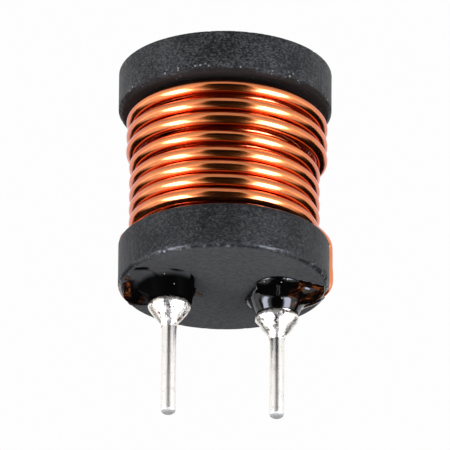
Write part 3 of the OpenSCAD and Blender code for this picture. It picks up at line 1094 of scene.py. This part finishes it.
@dataclass
class PinJoint:
    """One pin with its solder and its resin."""

    sizes: Sizes
    shop: Shop
    winding: Winding
    side: Side
    length: float
    lobes: Sequence[Patch]
    ridge: Patch
    sheets: Sequence[Patch] = ()
    # Grey patches: thin resin film on the ferrite and painted grey reflection.
    films_and_reflections: Sequence[Patch] = ()
    stains: Sequence[Patch] = ()
    wrinkles: Sequence[Patch] = ()
    segments: int = 96
    tip_chamfer: float = 0.2
    tip_shape: Outline = ((1.15, 0.0), (0.8, 0.1), (0.3, 0.5), (0.06, 1.0))
    pin_steps: int = 60
    root_taper: float = 0.08
    tin_t: float = 0.012
    bell_r: float = 1.47
    bell_steps: int = 8
    bell_round: float = 0.06
    lumps: float = 0.05
    sheet_t: float = 0.04
    sheet_edge: float = 0.15
    lobe_fillet: float = 0.5
    collar_fillet: float = 0.2
    coat_fillet: float = 0.3
    rays: int = 240
    rows: int = 57
    row_bias: float = 1.3
    inner_r: float = 1.3
    march: float = 0.03
    farthest: float = 8.0
    edge_fall: float = 0.3
    ripple: float = 0.012
    wrinkle: float = 0.1
    stain: float = 0.45
    crest: float = 1.0
    hollow: float = 1.25
    ridge_fall: float = 0.0
    collar_r: float = 1.4
    collar_rise: float = 2.2
    coat_t: float = 0.1
    # Mound depth up to which the grey film and painted reflection show.
    film_and_reflection_t: float = 0.4
    amber: float = 1.0

    @property
    def name(self) -> str:
        """Left or right."""
        return self.side.name.lower()

    @property
    def axis(self) -> Vector:
        """Foot of the pin's axis, at the drum's underside."""
        return Vector((self.sizes.pin_x(self.side), 0, 0))

    def turned(self, name: str, outline: Outline, shift: Callable[[Vector], float], closed: bool) -> Mesh:
        """A shape turned about the pin's axis.

        Args:
            name: The mesh's name.
            outline: Radius and height of each row.
            shift: Change of radius at a point, as a share of it.
            closed: Whether the outline is a closed loop.

        Returns:
            The mesh.
        """
        rows = []
        for radius, z in outline:
            if radius < TINY:
                rows.append([self.axis + Vector((0, 0, z))])
                continue
            ring = []
            for i in range(self.segments):
                p = polar(360 * i / self.segments, radius, z)
                share = 1 + shift(self.axis + p)
                ring.append(self.axis + Vector((p.x, p.y, 0)) * share + Vector((0, 0, z)))
            rows.append(ring)
        return self.shop.mesh(name, rows, closed)

    def pin(self, finish: Material) -> None:
        """The tinned pin, with a softened tip and a slightly uneven coat of tin."""
        s, tip = self.sizes, self.tip_chamfer
        outline = [(0.0, -self.length)]
        outline += [(s.pin_r - tip * inwards, -self.length + tip * up) for inwards, up in self.tip_shape]
        start, end = -self.length + tip * 1.5, -s.solder_end
        outline += [(s.pin_r, start + (end - start) * i / self.pin_steps) for i in range(self.pin_steps + 1)]
        outline += [(s.pin_r - self.root_taper, s.pin_seat), (0.0, s.pin_seat)]

        def coat(p: Vector) -> float:
            """Thinner tin in places."""
            return -self.tin_t * max(0.0, noise.noise(Vector((p.x * 1.4, p.y * 1.4, p.z * 0.5))) + 0.2)

        mesh = self.turned(f"pin_{self.name}", outline, coat, closed=False)
        ends = [1 - ease((v.co.z / MM + self.length) / tip - 0.4) for v in mesh.vertices]
        keep_values(mesh, "cut", ends)
        self.shop.piece(f"tinned_pin_{self.name}", mesh, Slot.TIN, f"pin_{self.name}", finish)

    def solder(self, finish: Material) -> None:
        """The lumpy bell of solder, drawn out to a hollow cone down the pin."""
        s = self.sizes
        inside, neck, top = s.pin_r - 0.01, s.pin_r + 0.03, -s.solder_top
        waist, middle = (self.bell_r + neck) / 2, top - s.bell_h - s.cone_h / 2
        knots = [
            (self.bell_r - 0.2, top),
            (self.bell_r - self.bell_round, top - s.bell_h * 0.4),
            (self.bell_r, top - s.bell_h),
            (self.bell_r - self.bell_round, top - s.bell_h * 1.6),
            (waist, middle),
            (neck + 0.1, -s.solder_end + s.cone_h * 0.2),
            (neck, -s.solder_end),
        ]
        bell = spline([Vector((r, z)) for r, z in knots], self.bell_steps)
        outline = [(neck, -s.solder_end), (inside, -s.solder_end), (inside, top), *((p.x, p.y) for p in bell)]

        def lump(p: Vector) -> float:
            """Uneven solder, none of it beyond the bell's round, least where it thins out on the pin."""
            out = math.hypot(p.x - self.axis.x, p.y)
            share = ease((out - s.pin_r) / (self.bell_r - s.pin_r))
            return self.lumps * share * (noise.noise(p * 1.1) - 0.4 + 0.5 * noise.noise(p * 2.6))

        mesh = self.turned(f"solder_{self.name}", outline, lump, closed=True)
        self.shop.piece(f"solder_joint_{self.name}", mesh, Slot.SOLDER, f"solder_{self.name}", finish)

    def covered(self, p: Vector) -> float:
        """How far inside the mound's ragged outline a point of the underside lies, negative outside it."""
        depth = OUTSIDE
        for lobe in self.lobes:
            near = lobe.depth(p)
            join = max(0.0, self.lobe_fillet - abs(near - depth)) / self.lobe_fillet
            depth = max(near, depth) + join * join * self.lobe_fillet / 4
        flat = Vector((p.x, p.y, 1.3))
        wave = 0.06 * noise.noise(flat * 1.1) + 0.025 * noise.noise(flat * 4.5)
        return self.on_face(p, depth + wave * math.exp(-max(0.0, depth) / 0.2))

    def spread(self, p: Vector) -> float:
        """The same for the mound and the thin sheets round it."""
        sheets = max((sheet.depth(p) + 0.1 * noise.noise(p * 2.3) for sheet in self.sheets), default=OUTSIDE)
        return max(self.covered(p), self.on_face(p, sheets))

    def on_face(self, p: Vector, depth: float) -> float:
        """A depth inside an outline, cut off at the rim of the drum's underside."""
        return min(depth, self.sizes.bottom_d / 2 - self.sizes.rim_chamfer - p.xy.length)

    def mound(self, p: Vector) -> float:
        """Depth below the drum of the resin at a point, without its coat over the lead."""
        top = self.sizes.solder_top
        gap, off = max(0.0, self.covered(p)), max(0.0, self.ridge.off(p) - self.ridge.reach)
        rise = gap / (gap + off) if gap + off else 1.0
        heap = self.crest * top * rise**self.hollow
        heap *= 1 - self.ridge_fall * ease((self.ridge.along(p) - 0.3) / 0.7)
        collar = top - max(0.0, (p - self.axis).xy.length - self.collar_r) * self.collar_rise
        sheet = self.sheet_t * ease(self.spread(p) / self.sheet_edge)
        return self.blend(max(heap, sheet), max(0.0, min(top, collar)), self.collar_fillet)

    def blend(self, a: float, b: float, soft: float) -> float:
        """The greater of two depths, with a fillet where they meet."""
        join = max(0.0, soft - abs(a - b)) / soft
        return max(a, b) + join * join * soft / 4 if min(a, b) > 0.01 else max(a, b)

    def marked(self, patches: Sequence[Patch], p: Vector) -> float:
        """How much a point lies in any of some patches, from 0 to 1."""
        return max((ease(patch.depth(p) / patch.reach * 3) for patch in patches), default=0.0)

    def over_lead(self, p: Vector, route: Sequence[Vector], cover: float) -> float:
        """Depth below the drum of the resin that coats the lead over a point.

        Args:
            p: A point of the underside.
            route: The lead's points under the drum.
            cover: Thickness of the coat.

        Returns:
            The depth, or 0 beside the lead.
        """
        reach = self.sizes.wire_r + cover
        deepest = 0.0
        for q in route:
            away = math.hypot(p.x - q.x, p.y - q.y)
            if away < reach:
                deepest = max(deepest, math.sqrt(reach * reach - away * away) - q.z)
        return deepest

    def resin(self, finish: Material) -> None:
        """The resin: a mound from the underside up to the solder, and a coat over the lead."""
        s, rays, inner = self.sizes, self.rays, self.inner_r
        steps = self.winding.lead_steps
        route = self.winding.lead(self.side)[2 * steps - 4 : 4 * steps]
        shares = [(j / (self.rows - 1)) ** self.row_bias for j in range(self.rows)]
        columns, thin, film_and_reflection = [], [], []
        for i in range(rays):
            ray = polar(360 * i / rays, 1.0, 0.0)
            edge = inner + self.edge_fall
            while edge < self.farthest and self.spread(self.axis + ray * (edge + self.march)) > 0:
                edge += self.march
            column = []
            for out in [s.pin_r, 0.9, 1.1, *(inner + (edge - inner) * share for share in shares)]:
                p = self.axis + ray * out
                mound = self.mound(p)
                coat = self.over_lead(p, route, self.coat_t) * ease((edge - out) / 0.2 + 0.3)
                ripple = self.ripple * noise.noise(p * 1.3)
                ripple += self.wrinkle * self.marked(self.wrinkles, p) * noise.noise(p * 4.0)
                ripple *= ease((edge - out) / self.edge_fall)
                height = self.blend(mound, coat, self.coat_fillet) + ripple
                height = min(s.solder_top, max(0.0, height)) if out < edge - TINY else 0.0
                column.append(p - Vector((0, 0, height)))
                over = self.amber * ease((coat - mound + 0.2) / 0.35) if coat > 0 else 0.0
                thin.append(max(over, self.stain * self.marked(self.stains, p)))
                # Grey mark on bare resin in the film patches: thin film over the ferrite and painted
                # reflection.
                bare = (1 - thin[-1]) * (1 - ease(mound / self.film_and_reflection_t))
                film_and_reflection.append(self.marked(self.films_and_reflections, p) * bare)
            columns.append(column)
        count = len(columns[0])
        rows = [[column[j] for column in columns] for j in range(count)]
        rows.append([Vector((p.x, p.y, 0.0)) for p in rows[0]])
        mesh = self.shop.mesh(f"resin_{self.name}", rows, closed=True)
        for name, marks in (("thin", thin), ("film_and_reflection", film_and_reflection)):
            values = [marks[i * count + j] for j in range(count) for i in range(rays)] + [0.0] * rays
            keep_values(mesh, name, values)
        self.shop.piece(f"black_resin_{self.name}", mesh, Slot.RESIN, f"resin_{self.name}", finish)


@dataclass(frozen=True)
class Softbox:
    """A soft lamp: its angles as the object sees them, across from the camera, and its radiance."""

    name: str
    across: float
    wide: float
    tilt: float
    tall: float
    fade: float
    level: float
    tint: Colour = (1.0, 1.0, 1.0)
    gloss: bool = True


@dataclass
class Studio:
    """Camera, lamps, flag, floor and world."""

    azimuth: float = -15.0
    elevation: float = -24.1
    roll: float = 0.5
    distance_m: float = 0.7
    frame_mm: float = 30.28
    target_z: float = 4.715
    shift_x: float = 0.002
    lamp_m: float = 0.3
    lamp_step: float = 1.01
    lamp_cells: int = 40
    drape_gap: float = 1.25
    drape_columns: int = 96
    drape_rows: int = 24
    drape_low: float = -4.0
    drape_high: float = 31.0
    drape_half: float = 25.0
    drape_back: float = -9.0
    drape_behind: float = 140.0
    drape_blend: float = 8.0
    drape_end: float = -89.5
    floor_half_m: float = 3.0
    floor_z_m: float = -0.42
    floor_shade: float = 0.9
    drape_shade: float = 0.004
    sky_band: tuple[float, float] = (0.45, 0.75)
    sky_top: float = 0.62
    fill: float = 0.4
    white: float = 0.985
    lamps: tuple[Softbox, ...] = (
        Softbox("key_left", across=-61, wide=72, tilt=-30, tall=98, fade=16, level=2.1, gloss=False),
        Softbox("key_right", across=56, wide=72, tilt=-30, tall=98, fade=16, level=2.1, gloss=False),
        Softbox("sheen_left", across=-63, wide=38, tilt=-26, tall=54, fade=12, level=10, tint=COOL),
        Softbox("sheen_right", across=52, wide=43, tilt=-26, tall=59, fade=12, level=10, tint=COOL),
        Softbox("skirt_left", across=-74, wide=100, tilt=-30, tall=92, fade=18, level=1.1),
        Softbox("skirt_right", across=64, wide=84, tilt=-30, tall=92, fade=14, level=0.9),
    )

    def toward(self, azimuth: float, elevation: float) -> Vector:
        """Way from the object to an azimuth and elevation, 0 along -Y."""
        a, e = math.radians(azimuth), math.radians(elevation)
        return Vector((math.sin(a) * math.cos(e), -math.cos(a) * math.cos(e), math.sin(e)))

    @property
    def target(self) -> Vector:
        """Point that the camera looks at, in metres."""
        return Vector((0, 0, self.target_z * MM))

    def camera(self) -> None:
        """Long lens at the photograph's angle."""
        data = bpy.data.cameras.new("camera")
        data.sensor_width = 36.0
        data.lens = self.distance_m / MM * data.sensor_width / self.frame_mm
        data.clip_start, data.clip_end = 0.01, 20.0
        data.shift_x = self.shift_x
        camera = bpy.data.objects.new("camera", data)
        back = self.toward(self.azimuth, self.elevation)
        camera.location = self.target + back * self.distance_m
        turn = back.to_track_quat("Z", "Y")
        camera.rotation_euler = turn.to_euler()
        camera.rotation_euler.rotate_axis("Z", math.radians(self.roll))
        bpy.context.scene.collection.objects.link(camera)
        bpy.context.scene.camera = camera

    def shell(self, name: str, points: Sequence[Vector], rows: int, closed: bool) -> Object:
        """A sheet of the studio, from columns of points, that the camera doesn't see.

        Args:
            name: The sheet's name.
            points: Its points, column by column, in metres.
            rows: Points in a column.
            closed: Whether the last column joins the first.

        Returns:
            The sheet, marked as stage.
        """
        columns = len(points) // rows
        faces = []
        for i in range(columns if closed else columns - 1):
            a, b = i * rows, (i + 1) % columns * rows
            faces += [(a + j, b + j, b + j + 1, a + j + 1) for j in range(rows - 1)]
        mesh = bpy.data.meshes.new(name)
        mesh.from_pydata(points, [], faces)
        sheet = bpy.data.objects.new(name, mesh)
        sheet.visible_camera = sheet.visible_shadow = False
        bpy.context.scene.collection.objects.link(sheet)
        return sheet

    def softbox(self, lamp: Softbox, radius: float) -> None:
        """Hangs a tall curved lamp that faces the object, fades at its edges and hides nothing behind it.

        Args:
            lamp: The lamp.
            radius: Its distance from the target, in metres.
        """
        cells = self.lamp_cells
        points, fades = [], []
        for i in range(cells + 1):
            for j in range(cells + 1):
                u, v = i / cells, j / cells
                azimuth = self.azimuth + lamp.across + lamp.wide * (u - 0.5)
                points.append(self.target + self.toward(azimuth, lamp.tilt + lamp.tall * (v - 0.5)) * radius)
                near = (min(u, 1 - u) * lamp.wide, min(v, 1 - v) * lamp.tall)
                fades.append(lamp.level * math.prod(ease(n / lamp.fade) for n in near))
        sheet = self.shell(lamp.name, points, cells + 1, closed=False)
        sheet.visible_diffuse, sheet.visible_glossy = not lamp.gloss, lamp.gloss
        keep_values(sheet.data, "level", fades)
        material = bpy.data.materials.new(lamp.name)
        material.use_nodes = True
        material.node_tree.nodes.clear()
        graph = Graph(material.node_tree)
        values = {"Color": (*lamp.tint, 1), "Strength": graph.mark("level")}
        glow = graph.add("ShaderNodeEmission", values).outputs[0]
        clear = graph.add("ShaderNodeBsdfTransparent").outputs[0]
        both = graph.add("ShaderNodeAddShader", {0: glow, 1: clear}).outputs[0]
        graph.add("ShaderNodeOutputMaterial", {"Surface": both})
        sheet.data.materials.append(material)

    def paint(self, mesh: Mesh, shade: float, roughness: float, mirror: float = 0.5) -> None:
        """Gives a mesh of the stage a plain grey, with its own name."""
        material = bpy.data.materials.new(mesh.name)
        material.use_nodes = True
        grey = (shade, shade, shade, 1)
        values = {"Base Color": grey, "Roughness": roughness, "Specular IOR Level": mirror}
        Graph(material.node_tree).fill(material.node_tree.nodes["Principled BSDF"], values)
        mesh.materials.append(material)

    def drape(self) -> None:
        """Dark cloth round the lower half of the view, higher in front, that only reflections see."""
        columns, rows = self.drape_columns, self.drape_rows
        radius = self.lamp_m * self.lamp_step ** len(self.lamps) * self.drape_gap
        points = []
        for i in range(columns):
            across = 360 * i / columns - 180
            front = 1 - ease((abs(across) - self.drape_half) / self.drape_blend + 0.5)
            behind = ease((abs(across) - self.drape_behind) / self.drape_blend + 0.5)
            rim = self.drape_low + (self.drape_high - self.drape_low) * front + self.drape_back * behind
            for j in range(rows):
                tilt = rim + (self.drape_end - rim) * j / (rows - 1)
                points.append(self.target + self.toward(self.azimuth + across, tilt) * radius)
        cloth = self.shell("drape", points, rows, closed=True)
        cloth.visible_diffuse = False
        self.paint(cloth.data, self.drape_shade, roughness=1.0, mirror=0.0)

    def floor(self) -> None:
        """Plain pale floor, below the camera."""
        half, z = self.floor_half_m, self.floor_z_m
        corners = [(-half, -half, z), (half, -half, z), (half, half, z), (-half, half, z)]
        mesh = bpy.data.meshes.new("floor")
        mesh.from_pydata(corners, [], [(0, 1, 2, 3)])
        self.paint(mesh, self.floor_shade, roughness=0.8)
        floor = bpy.data.objects.new("floor", mesh)
        bpy.context.scene.collection.objects.link(floor)

    def world(self) -> None:
        """White to look at and in reflections, a soft fill as light."""
        world = bpy.data.worlds.new("studio")
        world.use_nodes = True
        graph = Graph(world.node_tree)
        back = world.node_tree.nodes["Background"]
        rays = graph.add("ShaderNodeLightPath").outputs
        up = graph.parts(graph.add("ShaderNodeTexCoord").outputs["Generated"])[2]
        mirrored = graph.most(rays["Is Glossy Ray"], rays["Is Transmission Ray"])
        sky = graph.ramp(up, *self.sky_band, 1.0, self.sky_top)
        values = {0: rays["Is Camera Ray"], 2: self.fill, 3: self.white}
        seen = graph.add("ShaderNodeMix", values).outputs[0]
        level = graph.add("ShaderNodeMix", {0: mirrored, 2: seen, 3: sky}).outputs[0]
        graph.fill(back, {"Color": (1, 1, 1, 1), "Strength": level})
        bpy.context.scene.world = world

    def build(self) -> None:
        """Sets the whole studio."""
        self.camera()
        self.world()
        self.floor()
        for i, lamp in enumerate(self.lamps):
            self.softbox(lamp, self.lamp_m * self.lamp_step**i)
        self.drape()
        bpy.context.scene.view_settings.view_transform = "Standard"


def main() -> None:
    """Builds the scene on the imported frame."""
    logging.basicConfig(level=logging.INFO, format="%(name)s: %(message)s")
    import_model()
    sizes, shop, effects = Sizes(), Shop(), Effects()
    Studio().build()
    winding = Winding(sizes, shop)
    winding.build(CopperFinish(effects))
    DrumCore(sizes, shop, winding).build(FerriteFinish(effects, sizes))
    tin, solder = TinFinish(effects).material(), SolderFinish(effects).material()
    gloss = ResinFinish(effects, "black_resin").material()
    satin = ResinFinish(effects, "black_resin_satin", dull=0.24, mirror=0.002).material()
    left = PinJoint(
        sizes,
        shop,
        winding,
        Side.LEFT,
        length=9.5,
        lobes=[
            Patch((-4.4, -0.6), (-3.9, -0.9), 1.5),
            Patch((-3.75, 0.0), (-3.75, 0.0), 1.6),
            Patch((-4.2, 0.3), (-5.4, 1.6), 1.5),
            Patch((-4.6, 1.6), (-5.3, 3.2), 1.0),
        ],
        ridge=Patch((-3.6, -0.1), (-5.2, 1.2), 1.36),
        ridge_fall=0.5,
        sheets=[Patch((-6.4, -0.7), (-5.2, -1.1), 1.15), Patch((-2.4, 0.5), (-1.3, 1.2), 0.5)],
        # Grey film patches: thin resin on the ferrite, and a painted reflection along the near edge.
        films_and_reflections=[
            Patch((-6.6, -0.6), (-5.7, -0.9), 1.0),
            Patch((-5.4, -2.0), (-3.1, -1.9), 0.4),
            Patch((-2.3, 0.5), (-1.3, 1.2), 0.7),
        ],
        stains=[Patch((-1.8, 0.9), (-1.3, 1.2), 0.2), Patch((-6.9, -0.1), (-6.5, 1.4), 0.5)],
        wrinkles=[Patch((-2.4, 0.5), (-1.2, 1.3), 0.7)],
        amber=0.25,
    )
    right = PinJoint(
        sizes,
        shop,
        winding,
        Side.RIGHT,
        length=8.9,
        lobes=[
            Patch((3.75, 0.0), (3.6, 0.9), 1.85),
            Patch((3.6, -0.3), (3.4, -1.6), 1.6),
            Patch((4.3, -0.8), (5.6, -0.8), 1.2),
        ],
        ridge=Patch((3.75, 0.0), (3.75, 0.0), 1.34),
        sheets=[Patch((4.6, -1.4), (6.0, -1.0), 1.5)],
        # Grey film patch, partly a painted reflection.
        films_and_reflections=[Patch((2.2, 1.2), (2.6, 2.3), 0.4)],
        stains=[Patch((4.7, -2.0), (6.0, -1.6), 0.8)],
        crest=0.75,
        hollow=0.7,
    )
    for joint, resin in ((left, satin), (right, gloss)):
        joint.pin(tin)
        joint.solder(solder)
        joint.resin(resin)


if __name__ == "__main__":
    main()
